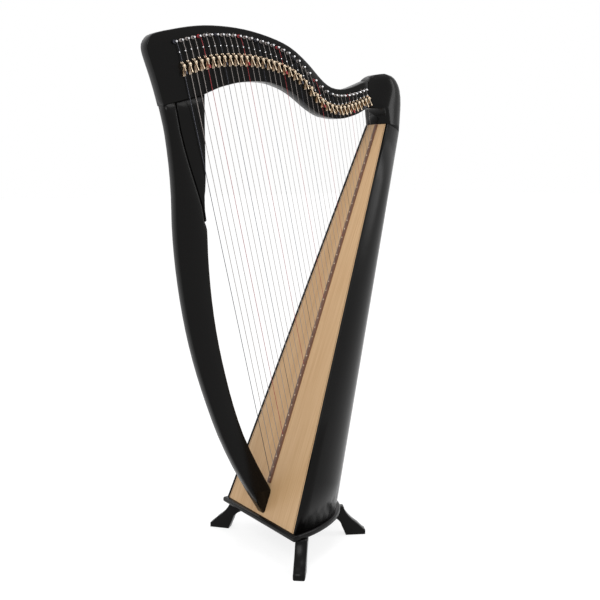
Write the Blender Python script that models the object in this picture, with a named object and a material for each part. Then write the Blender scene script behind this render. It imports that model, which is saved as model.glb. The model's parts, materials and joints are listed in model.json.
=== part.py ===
"""Floor-standing lever harp with thirty-eight strings.

Metres, +Z up, standing on the plane z = 0. While a piece is shaped, x runs from the front
edge of the base board back to the player, y from the lever side to the far side, and z up.
The empty that carries every piece then moves the harp so that it stands centred on the origin.

The soundboard has a frame of its own: s runs up the board from its lower edge, y across it,
and n square to it, back into the box.
"""

import math

import bmesh
import bpy
import numpy as np
from mathutils import Matrix, Vector

# Clearances
GAP = 0.0003  # between two pieces that touch
RUNNING_GAP = 0.0004  # between a lever's hub and its bracket

# Base board and feet
FLOOR_TO_BOARD = 0.090
BASE_THICKNESS = 0.018
BASE_HALF_WIDTH = 0.198
BASE_DEPTH = 0.287
BASE_ROUNDNESS = 1.8  # exponent of the superellipse at the back
BASE_EDGE = 0.006
BASE_STRAIGHT_SIDE = 0.020
FOOT_THICKNESS = 0.035
FOOT_LENGTH = 0.062  # on the floor
FOOT_ROOT = 0.120  # under the base board, from the toe
FOOT_TOE_HEIGHT = 0.014
FOOT_OUTER = (
    (0.001, 0.014), (0.0127, 0.0245), (0.0224, 0.0344), (0.0418, 0.0500), (0.0590, 0.0700), (0.0680, 0.0860),
)
FOOT_INNER = ((0.1180, 0.0670), (0.0950, 0.0570), (0.0800, 0.0430), (0.0740, 0.0285), (0.0680, 0.0150))
FOOT_EDGE = 0.004
FRONT_TOE = (-0.0155, 0.247)
FRONT_SPLAY = math.radians(130)  # heading of the toe, from +x
REAR_TOE = (0.351, 0.080)
REAR_SPLAY = math.radians(28)

# Soundbox and soundboard
BOARD_FOOT_X = 0.0115  # lower edge of the soundboard behind the base board's front edge
BOARD_LEAN = math.radians(20.5)  # from the vertical
BOARD_LENGTH = 1.242
BOARD_THICKNESS = 0.005
BOX_HALF_WIDTH_FOOT = 0.190
BOX_HALF_WIDTH_TOP = 0.0535
BOX_DEPTH_FOOT = 0.245
BOX_DEPTH_TOP = 0.083
BOX_WALL = 0.010
SOUND_HOLES = ((0.27, 0.062, 0.033), (0.475, 0.055, 0.029), (0.68, 0.047, 0.025), (0.86, 0.038, 0.020))
BRACE_STATIONS = (0.375, 0.58, 0.775)
BRACE_THICKNESS = 0.010
BRACE_DEPTH = 0.016
LINING_DEPTH = 0.014
LINING_WIDTH = 0.012
TAIL_BLOCK_HEIGHT = 0.070
OUTER_FACETS = 22
INNER_FACETS = 18

# String ribs, outside and inside the soundboard
RIB_START = 0.100
RIB_WIDTH_FOOT = 0.020
RIB_WIDTH_TOP = 0.013
RIB_THICKNESS = 0.003
INNER_RIB_DEPTH = 0.011
INNER_RIB_EXTRA = 0.006

# Neck, pillar, knee block and shoulder
NECK_THICKNESS = 0.042
NECK_EDGE = 0.003
KNEE_EDGE = 0.0012  # its lower end is only 3.4 mm wide
PILLAR_EDGE = 0.008
KNEE_THICKNESS = 0.038
NECK_END_X = 0.3945  # seam between the neck and the shoulder
SEAM_FRONT = (-0.2875, 1.3005)  # seam between the neck and the pillar
SEAM_BACK = (-0.1645, 1.3345)
NECK_FRONT = ((-0.2875, 1.3005), (-0.2990, 1.3420), (-0.3110, 1.3800), (-0.3240, 1.4170))
NECK_CORNER = ((-0.3310, 1.4400), (-0.3310, 1.4580), (-0.3215, 1.4740), (-0.3050, 1.4850))
NECK_TOP = (
    (-0.2590, 1.4970), (-0.2120, 1.5075), (-0.1640, 1.5145), (-0.1150, 1.5170), (-0.0650, 1.5160),
    (-0.0150, 1.5110), (0.0380, 1.5010), (0.0910, 1.4860), (0.1320, 1.4660), (0.1740, 1.4355),
    (0.2020, 1.4105), (0.2310, 1.3865), (0.2600, 1.3720), (0.2930, 1.3685), (0.3230, 1.3735),
    (0.3530, 1.3835),
)
NECK_UNDER = (
    (0.3600, 1.3005), (0.3350, 1.2920), (0.3050, 1.2845), (0.2750, 1.2830), (0.2340, 1.2885),
    (0.2050, 1.2995), (0.1760, 1.3160), (0.1480, 1.3350), (0.1200, 1.3515), (0.0920, 1.3635),
    (0.0650, 1.3715), (0.0380, 1.3765), (0.0000, 1.3770), (-0.0360, 1.3740), (-0.0670, 1.3685),
    (-0.0925, 1.3620), (-0.1180, 1.3545), (-0.1430, 1.3440), (-0.1560, 1.3385),
)
PILLAR_FRONT = (
    (-0.2788, 1.2640), (-0.2710, 1.2250), (-0.2610, 1.1450), (-0.2560, 1.0650), (-0.2552, 0.9840),
    (-0.2504, 0.9014), (-0.2412, 0.8180), (-0.2280, 0.7330), (-0.2100, 0.6460), (-0.1861, 0.5570),
    (-0.1561, 0.4653), (-0.1208, 0.3706), (-0.0742, 0.2715), (-0.0280, 0.1880),
)
PILLAR_BACK = (
    (0.0380, 0.1945), (-0.0040, 0.2720), (-0.0504, 0.3694), (-0.0836, 0.4639), (-0.1085, 0.5552),
    (-0.1287, 0.6442), (-0.1435, 0.7310), (-0.1533, 0.8162), (-0.1589, 0.9000), (-0.1609, 0.9700),
)
KNEE_FACE = ((-0.1683, 0.9924), (-0.1744, 1.0334), (-0.2115, 1.1439), (-0.2367, 1.2333))
KNEE_TOP = (-0.2512, 1.3148)
KNEE_FOOT_BACK = (-0.1645, 0.9960)
KNEE_SEAM = 0.0004
PAST_SEAM = (0.006, 0.02)
PAST_CUT = 0.02  # how far outlines run past the face that trims them
KNEE_BACK = ((-0.1685, 1.0240), (-0.1690, 1.0640), (-0.1652, 1.1050), (-0.1655, 1.2700))
SHOULDER_FRONT_FOOT_X = 0.4457
SHOULDER_FRONT_HEAD = (0.4370, 1.3180)
SHOULDER_HEIGHT = 1.4235
SHOULDER_FRONT_FOOT_Z = 1.2712
WIDENING_BELOW = 0.35  # of the crease's widening, below its foot
COVE_POWER = 1.7
CROWN_FOOT = 1.404
CROWN_HEAD = SHOULDER_HEIGHT + 0.004
LEDGE_THICKNESS = 0.0005
SHOULDER_LOW_RINGS = (1.215, 1.245, SHOULDER_FRONT_FOOT_Z)
SHOULDER_HIGH_RINGS = (
    1.335, 1.355, 1.375, 1.391, 1.4035, 1.4115, 1.4175, 1.4215, SHOULDER_HEIGHT - 0.0003,
)
SHOULDER_BACK = (
    (1.2000, 0.5135), (1.2423, 0.5231), (1.2900, 0.5308), (1.3356, 0.5341), (1.3650, 0.5320),
    (1.3905, 0.5245), (1.4095, 0.5100), (1.4190, 0.4930), (1.4235, 0.4620),
)
SHOULDER_ROOF = ((1.4000, NECK_END_X), (1.4165, 0.420), (1.4235, 0.458))
CREASE_FOOT = (0.4360, 1.3150)
CREASE_HEAD = (0.4850, 1.3960)
CREASE_HALF_WIDTH = (0.0480, 0.0320)

# Strings
STRINGS = 38
STRING_LEAN = math.radians(-13.65)
FIRST_STRING = 0.1044  # across the strings, at the bridge pins
BASS_SPACING = 0.0185
TREBLE_SPACING = 0.0134
FIRST_RIB_HOLE = 0.1153  # up the soundboard
BASS_RIB_SPACING = 0.0331
TREBLE_RIB_SPACING = 0.0250
STRING_PLANE = 0.0290  # from the middle plane, at the bridge pins
STRING_CLEARANCE = 0.0010
RELIEF_DEPTH = 0.0032  # behind the shortest strings
RELIEF_STRINGS = 7
RELIEF_MARGIN = 0.008
RELIEF_FADE = 0.025
BASS_STRING_RADIUS = 0.0009
TREBLE_STRING_RADIUS = 0.00035
BRIDGE_LINE = (
    (-0.2480, 1.4365), (-0.1890, 1.4526), (-0.1350, 1.4621), (-0.0805, 1.4655), (-0.0286, 1.4634),
    (0.0260, 1.4553), (0.0802, 1.4410), (0.1180, 1.4238), (0.1563, 1.3962), (0.1947, 1.3596),
    (0.2310, 1.3364), (0.2640, 1.3254), (0.2915, 1.3260), (0.3300, 1.3358), (0.3600, 1.3462),
    (0.3870, 1.3560), (0.4050, 1.3630),
)
TUNING_LINE = (
    (-0.2700, 1.4600), (-0.1685, 1.4865), (-0.0774, 1.4926), (-0.0050, 1.4857), (0.0652, 1.4701),
    (0.1186, 1.4470), (0.1552, 1.4186), (0.1967, 1.3825), (0.2315, 1.3587), (0.2654, 1.3491),
    (0.3090, 1.3506), (0.3506, 1.3612), (0.3763, 1.3699),
)
TUNING_LEAN = math.radians(-28)

# Pins
BRIDGE_PIN_RADIUS = 0.0017
BRIDGE_PIN_REACH = 0.0330
TUNING_PIN_RADIUS = 0.0028
TUNING_PIN_REACH = 0.0400
TUNING_PIN_SQUARE = 0.0036
TUNING_PIN_FAR_REACH = 0.0430

# Levers and their brackets
LEVER_DROP_BASE = 0.002
LEVER_DROP_RATE = 0.0272  # of the string's length
LEVER_DROP_LEAST = 0.011
PIVOT_STANDOFF = 0.0064  # pivot in front of the string
PIVOT_PIN_RADIUS = 0.0012
LEVER_BORE_RADIUS = 0.0018
LEVER_WIDTH = 0.0042
HUB_RADIUS = 0.0036
CAM_REACH = 0.0051
HANDLE_LENGTH = 0.0235
HANDLE_ROOT = 0.0016  # half thickness
HANDLE_TIP = 0.0011
KNOB_RADIUS = 0.0021
HANDLE_REST = math.radians(17)  # out of the string's line
LEVER_TRAVEL = math.radians(110)
BRACKET_SHEET = 0.0013
BRACKET_FOOT = 0.0016
BRACKET_HEIGHT_BASS = 0.0370
BRACKET_HEIGHT_TREBLE = 0.0270
BRACKET_END_WALL = 0.0040
BRACKET_CAP = 0.0024  # material beyond the pivot
BRACKET_SUNK = 0.001  # into the neck
POCKET_MARGIN = 0.0008
BRACKET_RISE = 0.30  # share of its height above the pivot

# Pillar bolt
BOLT_STATION = 0.047
BOLT_RADIUS = 0.0045
BOLT_HEAD_RADIUS = 0.011
BOLT_HEAD = 0.006
BOLT_IN_PILLAR = 0.028
BOLT_GRIP = 0.034

# Values that follow from the ones above
BASE_TOP = FLOOR_TO_BOARD + BASE_THICKNESS
BOARD_ORIGIN = Vector((BOARD_FOOT_X, 0, BASE_TOP))
UP_BOARD = Vector((math.sin(BOARD_LEAN), 0, math.cos(BOARD_LEAN)))
INTO_BOX = Vector((math.cos(BOARD_LEAN), 0, -math.sin(BOARD_LEAN)))
NECK_SIDE = NECK_THICKNESS / 2
BRACKET_WIDTH = LEVER_WIDTH + 2 * (RUNNING_GAP + BRACKET_SHEET)
CAM_TURN = math.radians(270) - HANDLE_REST - LEVER_TRAVEL  # the cam meets the string at full travel


def at_board(s, y, n):
    """The point at (s, y, n) in the soundboard's frame."""
    return BOARD_ORIGIN + float(s) * UP_BOARD + float(n) * INTO_BOX + Vector((0, y, 0))


def along_board(s, foot, top):
    """A size that changes evenly from the board's foot to its top."""
    return foot + (top - foot) * s / BOARD_LENGTH


def board_x(z):
    """Where the soundboard's face is at height z."""
    return BOARD_FOOT_X + (z - BASE_TOP) * math.tan(BOARD_LEAN)


def smooth(points, steps=2):
    """A Catmull-Rom curve through the points, with this many steps between two of them."""
    p = np.array(points, float)
    p = np.vstack([2 * p[0] - p[1], p, 2 * p[-1] - p[-2]])
    t = np.linspace(0, 1, steps, endpoint=False)[:, None]
    out = []
    for a, b, c, d in zip(p[:-3], p[1:-2], p[2:-1], p[3:]):
        out.append(b + 0.5 * t * (c - a + t * (2 * a - 5 * b + 4 * c - d + t * (3 * (b - c) + d - a))))
    out.append(p[-2:-1])
    return np.vstack(out)


def crossing(line, lean, distance):
    """The point of a smooth line that lies this far across strings of this lean."""
    curve = smooth(line, 40)
    across = curve[:, 0] * math.cos(lean) - curve[:, 1] * math.sin(lean)
    return np.array([np.interp(distance, across, curve[:, 0]), np.interp(distance, across, curve[:, 1])])


# Scene, collections and materials


def fresh_scene():
    for obj in list(bpy.data.objects):
        bpy.data.objects.remove(obj, do_unlink=True)
    for name in ("Harp", "Harp cutters"):
        bpy.context.scene.collection.children.link(bpy.data.collections.new(name))


def material(name, colour, roughness, metallic=0.0):
    made = bpy.data.materials.new(name)
    made.use_nodes = True
    shader = made.node_tree.nodes["Principled BSDF"]
    shader.inputs["Base Color"].default_value = (*colour, 1)
    shader.inputs["Roughness"].default_value = roughness
    shader.inputs["Metallic"].default_value = metallic
    made.diffuse_color = (*colour, 1)
    return made


def keep(obj, name, finish=None, helper=False):
    """Names an object, gives it its material and files it with the pieces or the cutters."""
    obj.name = name
    obj.data.name = name
    for old in list(obj.users_collection):
        old.objects.unlink(obj)
    bpy.data.collections["Harp cutters" if helper else "Harp"].objects.link(obj)
    obj.parent = bpy.data.objects["harp"]
    if helper:
        obj.hide_render = True
        obj.display_type = "WIRE"
    else:
        obj.data.materials.clear()
        obj.data.materials.append(finish)
    return obj


def from_bmesh(shape, name, finish=None, helper=False):
    mesh = bpy.data.meshes.new(name)
    shape.to_mesh(mesh)
    shape.free()
    mesh.shade_smooth()
    mesh.set_sharp_from_angle(angle=math.radians(35))
    return keep(bpy.data.objects.new(name, mesh), name, finish, helper)


# Shapes


def outline_mesh(outlines, half_thickness, edge=0.0, edge_steps=1):
    """A flat outline of given half thickness with rounded edges, as a welded mesh on its own XY plane."""
    curve = bpy.data.curves.new("outline", "CURVE")
    curve.dimensions = "2D"
    curve.fill_mode = "BOTH"
    curve.extrude = half_thickness - edge
    curve.bevel_depth = edge
    curve.bevel_resolution = edge_steps
    curve.offset = -edge
    for points in outlines:
        spline = curve.splines.new("POLY")
        spline.points.add(len(points) - 1)
        for point, (x, y) in zip(spline.points, points):
            point.co = (x, y, 0, 1)
        spline.use_cyclic_u = True
    guide = bpy.data.objects.new("outline", curve)
    bpy.context.scene.collection.objects.link(guide)
    bpy.context.view_layer.update()
    mesh = bpy.data.meshes.new_from_object(guide.evaluated_get(bpy.context.evaluated_depsgraph_get()))
    bpy.data.objects.remove(guide, do_unlink=True)
    bpy.data.curves.remove(curve)
    shape = bmesh.new()
    shape.from_mesh(mesh)
    bpy.data.meshes.remove(mesh)
    bmesh.ops.remove_doubles(shape, verts=shape.verts, dist=1e-6)
    bmesh.ops.recalc_face_normals(shape, faces=shape.faces)
    return shape


UPRIGHT = Matrix.Rotation(math.pi / 2, 4, "X")  # turns an outline's XY plane to XZ


def upright_plate(name, outline, thickness, edge, finish, edge_steps=1, helper=False):
    """A flat outline in x and z, centred on the middle plane."""
    shape = outline_mesh([outline], thickness / 2, edge, edge_steps)
    bmesh.ops.transform(shape, matrix=UPRIGHT, verts=shape.verts)
    return from_bmesh(shape, name, finish, helper)


def loft(shape, rings):
    """Skins rings of equally many points and closes both ends."""
    rows = [[shape.verts.new(point) for point in ring] for ring in rings]
    count = len(rows[0])
    for low, high in zip(rows, rows[1:]):
        for i in range(count):
            j = (i + 1) % count
            shape.faces.new((low[i], low[j], high[j], high[i]))
    shape.faces.new(rows[0][::-1])
    shape.faces.new(rows[-1])


def lofted(name, rings, finish=None, helper=False):
    shape = bmesh.new()
    loft(shape, rings)
    bmesh.ops.recalc_face_normals(shape, faces=shape.faces)
    return from_bmesh(shape, name, finish, helper)


def prism(shape, start, end, radii, sides, turn=0.0):
    """A straight rod with a regular cross-section, from start to end."""
    start, end = Vector(start), Vector(end)
    axis = end - start
    place = Matrix.Translation((start + end) / 2) @ axis.to_track_quat("Z", "Y").to_matrix().to_4x4()
    bmesh.ops.create_cone(
        shape, cap_ends=True, segments=sides, radius1=radii[0], radius2=radii[1], depth=axis.length,
        matrix=place @ Matrix.Rotation(turn, 4, "Z"),
    )


def block(name, corners, finish=None, helper=False):
    """A solid from eight corners: four below, then the four above them."""
    return lofted(name, (corners[:4], corners[4:]), finish, helper)


def board_slab(name, low_s, high_s, low_n, high_n, reach=0.5):
    """A cutter square to the soundboard's frame."""
    corners = [at_board(s, y, n) for s in (low_s, high_s)
               for y, n in ((-reach, low_n), (reach, low_n), (reach, high_n), (-reach, high_n))]
    return block(name, corners, helper=True)


def level_slab(name, low, high, reach=1.0):
    """A cutter between two heights."""
    corners = [(x, y, z) for z in (low, high)
               for x, y in ((-reach, -reach), (reach, -reach), (reach, reach), (-reach, reach))]
    return block(name, corners, helper=True)


def cut(obj, cutter, operation="DIFFERENCE", solver="EXACT"):
    step = obj.modifiers.new(f"{operation.lower()} {cutter.name}", "BOOLEAN")
    step.operation = operation
    step.solver = solver
    step.object = cutter


# Base and feet


def base_outline():
    turn = np.linspace(-math.pi / 2, math.pi / 2, 29)
    power = 2 / BASE_ROUNDNESS
    x = BASE_DEPTH * np.abs(np.cos(turn)) ** power
    y = BASE_HALF_WIDTH * np.sign(np.sin(turn)) * np.abs(np.sin(turn)) ** power
    x[[0, -1]] = BASE_STRAIGHT_SIDE
    front = [(0, BASE_HALF_WIDTH), (0, -BASE_HALF_WIDTH)]
    return [*zip(x, y), *front]


def make_base_board(finish):
    shape = outline_mesh([base_outline()], BASE_THICKNESS / 2, BASE_EDGE, 2)
    lift = Matrix.Translation((0, 0, FLOOR_TO_BOARD + BASE_THICKNESS / 2))
    bmesh.ops.transform(shape, matrix=lift, verts=shape.verts)
    return from_bmesh(shape, "base_board", finish)


def foot_outline():
    """An ogee bracket seen from its side: r from the toe, z up, taller than the space that trims it."""
    top = FLOOR_TO_BOARD + FOOT_EDGE
    outer, inner = smooth(FOOT_OUTER, 2), smooth(FOOT_INNER, 2)
    head = [(FOOT_OUTER[-1][0], top), (FOOT_ROOT, top)]
    return [(0, 0), (0, FOOT_TOE_HEIGHT), *outer[1:], *head, *inner, (FOOT_LENGTH, 0)]


def make_foot(name, toe, heading, side, finish):
    shape = outline_mesh([foot_outline()], FOOT_THICKNESS / 2, FOOT_EDGE, 1)
    heading = heading if side > 0 else -heading
    place = Matrix.Translation((toe[0], side * toe[1], 0)) @ Matrix.Rotation(heading + math.pi, 4, "Z")
    bmesh.ops.transform(shape, matrix=place @ UPRIGHT, verts=shape.verts)
    foot = from_bmesh(shape, name, finish)
    cut(foot, bpy.data.objects["foot space"], "INTERSECT")
    return foot


# Soundbox


def box_arc(s, inset, turns):
    """Points of the box's round section at s, this far inside its outer surface."""
    width = along_board(s, BOX_HALF_WIDTH_FOOT, BOX_HALF_WIDTH_TOP) - inset
    depth = along_board(s, BOX_DEPTH_FOOT, BOX_DEPTH_TOP) - inset
    return [at_board(s, width * math.sin(turn), depth * math.cos(turn)) for turn in turns]


def half_turn(steps):
    return np.linspace(-math.pi / 2, math.pi / 2, steps + 1)


def make_soundbox_shell(finish):
    rings = []
    for s in np.linspace(-0.02, BOARD_LENGTH, 8):
        inside = box_arc(s, BOX_WALL, half_turn(INNER_FACETS))
        rings.append([*box_arc(s, 0, half_turn(OUTER_FACETS)), *inside[::-1]])
    shell = lofted("soundbox_shell", rings, finish)
    cut(shell, bpy.data.objects["below base top"])
    holes = bmesh.new()
    for s, half_length, half_width in SOUND_HOLES:
        depth = along_board(s, BOX_DEPTH_FOOT, BOX_DEPTH_TOP)
        turns = np.linspace(0, 2 * math.pi, 18, endpoint=False)
        loft(holes, [
            [at_board(s + half_length * math.cos(t), half_width * math.sin(t), n) for t in turns]
            for n in (depth - 4 * BOX_WALL, depth + 2 * BOX_WALL)
        ])
    bmesh.ops.recalc_face_normals(holes, faces=holes.faces)
    cut(shell, from_bmesh(holes, "sound holes", helper=True))
    return shell


def box_core():
    """The space inside the shell, behind the soundboard, with the usual gap all round."""
    rings = [box_arc(s, BOX_WALL + GAP, half_turn(INNER_FACETS)) for s in (-0.02, BOARD_LENGTH - 0.01)]
    core = lofted("box core", rings, helper=True)
    cut(core, board_slab("board space", -0.1, 2, -0.1, BOARD_THICKNESS + GAP))
    cut(core, bpy.data.objects["below base top"])
    return core


def inside_half_width(s, n):
    """Half the box's inner width at depth n, on the flats that its wall is made of."""
    turns = half_turn(INNER_FACETS)[::-1][: INNER_FACETS // 2 + 1]
    width = along_board(s, BOX_HALF_WIDTH_FOOT, BOX_HALF_WIDTH_TOP) - BOX_WALL
    depth = along_board(s, BOX_DEPTH_FOOT, BOX_DEPTH_TOP) - BOX_WALL
    return float(np.interp(n, depth * np.cos(turns), width * np.sin(turns)))


def make_soundboard(finish):
    low, high = GAP, BOARD_LENGTH - GAP
    corners = []
    for s in (low, high):
        half = inside_half_width(s, BOARD_THICKNESS) - GAP
        corners += [at_board(s, -half, 0), at_board(s, half, 0),
                    at_board(s, half, BOARD_THICKNESS), at_board(s, -half, BOARD_THICKNESS)]
    board = block("soundboard", corners, finish)
    cut(board, bpy.data.objects["below base top"])
    cut(board, bpy.data.objects["bolt hole"])
    return board


def make_lining(name, side, finish):
    """A strip glued in the corner between the shell and the soundboard."""
    corners = []
    back = BOARD_THICKNESS + GAP
    for s in (TAIL_BLOCK_HEIGHT + 0.03, BOARD_LENGTH - 0.02):
        outer = inside_half_width(s, back + LINING_DEPTH) - GAP
        inner = outer - LINING_WIDTH
        corners += [at_board(s, side * outer, back), at_board(s, side * inner, back),
                    at_board(s, side * (inner + LINING_WIDTH / 2), back + LINING_DEPTH),
                    at_board(s, side * outer, back + LINING_DEPTH)]
    return block(name, corners, finish)


def make_brace(name, s, finish):
    """A hoop that stiffens the back, ending short of the linings and the inner rib."""
    rings = []
    turns = half_turn(INNER_FACETS)[1:-1]
    for station in (s, s + BRACE_THICKNESS):
        rings.append([*box_arc(station, BOX_WALL + GAP, turns),
                      *box_arc(station, BOX_WALL + BRACE_DEPTH, turns)[::-1]])
    return lofted(name, rings, finish)


def make_tail_block(finish):
    """The block that joins the shell, the soundboard and the base, and takes the pillar bolt."""
    low, high = BASE_TOP + GAP, BASE_TOP + TAIL_BLOCK_HEIGHT
    corners = [(x, y, z) for z in (low, high) for x, y in ((0, -0.5), (0.06, -0.5), (0.06, 0.5), (0, 0.5))]
    corners = [(x + board_x(z) * (z > low), y, z) for x, y, z in corners]
    tail = block("tail_block", corners, finish)
    cut(tail, bpy.data.objects["box core"], "INTERSECT")
    cut(tail, bpy.data.objects["bolt hole"])
    cut(tail, bpy.data.objects["bolt recess"])
    return tail


def make_bolt_cutters():
    hole, recess = bmesh.new(), bmesh.new()
    prism(hole, at_board(BOLT_STATION, 0, -BOLT_IN_PILLAR - GAP), at_board(BOLT_STATION, 0, 0.2),
          (BOLT_RADIUS + GAP,) * 2, 12)
    prism(recess, at_board(BOLT_STATION, 0, BOLT_GRIP), at_board(BOLT_STATION, 0, 0.2),
          (BOLT_HEAD_RADIUS + 0.002,) * 2, 16)
    from_bmesh(hole, "bolt hole", helper=True)
    from_bmesh(recess, "bolt recess", helper=True)


def make_pillar_bolt(finish):
    """The bolt through the tail block and the soundboard into the pillar's foot."""
    shape = bmesh.new()
    start = at_board(BOLT_STATION, 0, -BOLT_IN_PILLAR)
    prism(shape, start, at_board(BOLT_STATION, 0, BOLT_GRIP + BOLT_HEAD / 2), (BOLT_RADIUS,) * 2, 12)
    bolt = from_bmesh(shape, "pillar_bolt", finish)
    head = bmesh.new()
    seat = at_board(BOLT_STATION, 0, BOLT_GRIP + GAP)
    prism(head, seat, at_board(BOLT_STATION, 0, BOLT_GRIP + BOLT_HEAD), (BOLT_HEAD_RADIUS,) * 2, 6)
    cut(bolt, from_bmesh(head, "bolt head", helper=True), "UNION")
    return bolt


def rib_corners(low_s, high_s, widths, low_n, high_n):
    corners = []
    for s, width in zip((low_s, high_s), widths):
        corners += [at_board(s, -width / 2, low_n), at_board(s, width / 2, low_n),
                    at_board(s, width / 2, high_n), at_board(s, -width / 2, high_n)]
    return corners


def make_inner_rib(finish):
    widths = (RIB_WIDTH_FOOT + INNER_RIB_EXTRA, RIB_WIDTH_TOP + INNER_RIB_EXTRA)
    back = BOARD_THICKNESS + GAP
    corners = rib_corners(RIB_START, BOARD_LENGTH - 0.02, widths, back, back + INNER_RIB_DEPTH)
    return block("inner_string_rib", corners, finish)


# Frame: pillar, knee block, neck and shoulder


def seam_point(x, lift=0.0):
    share = (x - SEAM_FRONT[0]) / (SEAM_BACK[0] - SEAM_FRONT[0])
    return (x, SEAM_FRONT[1] + share * (SEAM_BACK[1] - SEAM_FRONT[1]) + lift)


def pillar_back():
    """The pillar's rear line from its foot to past the seam, and its part beside the knee block."""
    past_seam = (KNEE_TOP[0] - PAST_SEAM[0], KNEE_TOP[1] + PAST_SEAM[1])
    line = smooth((*PILLAR_BACK, *KNEE_FACE, KNEE_TOP, past_seam), 2)
    return line, line[2 * len(PILLAR_BACK):]


def make_pillar(finish):
    """The curved pillar, cut square to the soundboard at its foot and along the seam at its head."""
    front = smooth((*NECK_FRONT[1::-1], *PILLAR_FRONT), 2)
    foot = [
        (board_x(BASE_TOP) + PAST_CUT, BASE_TOP - PAST_CUT),
        (board_x(PILLAR_BACK[0][1]) + PAST_CUT, BASE_TOP + PAST_CUT),
    ]
    outline = [*front, *foot, *pillar_back()[0]]
    pillar = upright_plate("pillar", outline, NECK_THICKNESS, PILLAR_EDGE, finish)
    cut(pillar, board_slab("behind soundboard", -1, 3, -GAP, 1))
    cut(pillar, bpy.data.objects["above seam"])
    cut(pillar, bpy.data.objects["below base top"])
    cut(pillar, bpy.data.objects["bolt hole"])
    return pillar


def make_knee_block(finish):
    face = [(x + KNEE_SEAM, z) for x, z in pillar_back()[1]]
    head_back = (SEAM_BACK[0], SEAM_BACK[1] + PAST_CUT)
    outline = [*face, head_back, *smooth(KNEE_BACK[::-1], 2), KNEE_FOOT_BACK]
    knee = upright_plate("knee_block", outline, KNEE_THICKNESS, KNEE_EDGE, finish)
    cut(knee, bpy.data.objects["above seam"])
    return knee


def neck_outline():
    seam_top = (NECK_END_X, SHOULDER_ROOF[0][0])
    seam_foot = (NECK_END_X, SHOULDER_FRONT_HEAD[1])
    edge = smooth((*NECK_FRONT, *NECK_CORNER, *NECK_TOP, seam_top), 2)
    under = smooth((seam_foot, *NECK_UNDER, SEAM_BACK), 2)
    return [*edge, *under]


def make_neck(lines, finish):
    neck = upright_plate("neck", neck_outline(), NECK_THICKNESS, NECK_EDGE, finish)
    cut(neck, bpy.data.objects["string relief"])
    for helper in neck_hardware(lines):
        cut(neck, helper, "UNION", "MANIFOLD")
    return neck


def make_seam_cutter():
    front, back = seam_point(-0.40, -GAP), seam_point(0.0, -GAP)
    corners = [(x, y, z + lift) for lift in (0, 0.2) for x, z, y in
               ((*front, -0.1), (*back, -0.1), (*back, 0.1), (*front, 0.1))]
    return block("above seam", corners, helper=True)


def make_string_relief(lines):
    """What the neck and the shoulder lose so that the shortest strings run clear of them."""
    rings = []
    far = Vector((0, -0.1, 0))
    steps = ((lines[-RELIEF_STRINGS], 0, 0), (lines[-1], RELIEF_MARGIN, 0),
             (lines[-1], RELIEF_MARGIN + RELIEF_FADE, RELIEF_FADE))
    for line, shift, fade in steps:
        foot, bend = (point + Vector((shift, RELIEF_DEPTH - fade, 0)) for point in (line.foot, line.bend))
        rings.append([foot, bend, bend + far, foot + far])
    return lofted("string relief", rings, helper=True)


def make_bracket_pocket(line):
    """The shallow pocket in the shoulder for the last bracket, which reaches over the seam."""
    height, below = bracket_reach(line)
    along = Vector((math.sin(line.lean), 0, math.cos(line.lean)))
    half = BRACKET_WIDTH / 2 + POCKET_MARGIN
    floor = -NECK_SIDE + BRACKET_SUNK + GAP
    rings = []
    for step in (-below - POCKET_MARGIN, BRACKET_RISE * height + POCKET_MARGIN):
        centre = line.pivot + along * step
        rings.append([(centre.x + line.across.x * a, y, centre.z + line.across.z * a)
                      for a, y in ((-half, floor), (half, floor), (half, -0.1), (-half, -0.1))])
    return lofted("bracket pocket", rings, helper=True)


def value_at(pairs, z):
    curve = smooth(pairs, 8)
    return float(np.interp(z, curve[:, 0], curve[:, 1]))


def shoulder_ring(z, under_neck):
    """A level section: neck-wide at the seam, a cove out to the crease, then the round back."""
    rise = min(max((z - CREASE_FOOT[1]) / (CREASE_HEAD[1] - CREASE_FOOT[1]), -1), 1.25)
    crease = CREASE_FOOT[0] + max(rise, 0) * (CREASE_HEAD[0] - CREASE_FOOT[0])
    widening = (CREASE_HALF_WIDTH[1] - CREASE_HALF_WIDTH[0]) * (1 if rise > 0 else WIDENING_BELOW)
    width = CREASE_HALF_WIDTH[0] + rise * widening
    front = NECK_END_X + GAP
    if under_neck:
        span = (SHOULDER_FRONT_HEAD[1] - z) / (SHOULDER_FRONT_HEAD[1] - SHOULDER_FRONT_FOOT_Z)
        front = crease = SHOULDER_FRONT_HEAD[0] + span * (SHOULDER_FRONT_FOOT_X - SHOULDER_FRONT_HEAD[0])
    if z > SHOULDER_ROOF[0][0]:
        front = value_at(SHOULDER_ROOF, z) + GAP
    back = value_at(SHOULDER_BACK, z)
    crease = min(crease, 0.4 * front + 0.6 * back)
    crown = max((z - CROWN_FOOT) / (CROWN_HEAD - CROWN_FOOT), 0)
    soft = math.sqrt(max(1 - crown ** 2, 0))
    half = []
    for u in np.linspace(0, 1, 7):
        flare = u if under_neck else u ** COVE_POWER
        half.append((front + (crease - front) * u, NECK_SIDE + (width - NECK_SIDE) * flare))
    for turn in np.linspace(0, math.pi / 2, 9)[1:]:
        half.append((crease + (back - crease) * math.sin(turn), width * math.cos(turn)))
    half = [(x, y * soft) for x, y in half]
    return [(x, y, z) for x, y in half] + [(x, -y, z) for x, y in half[-2::-1]]


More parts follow.
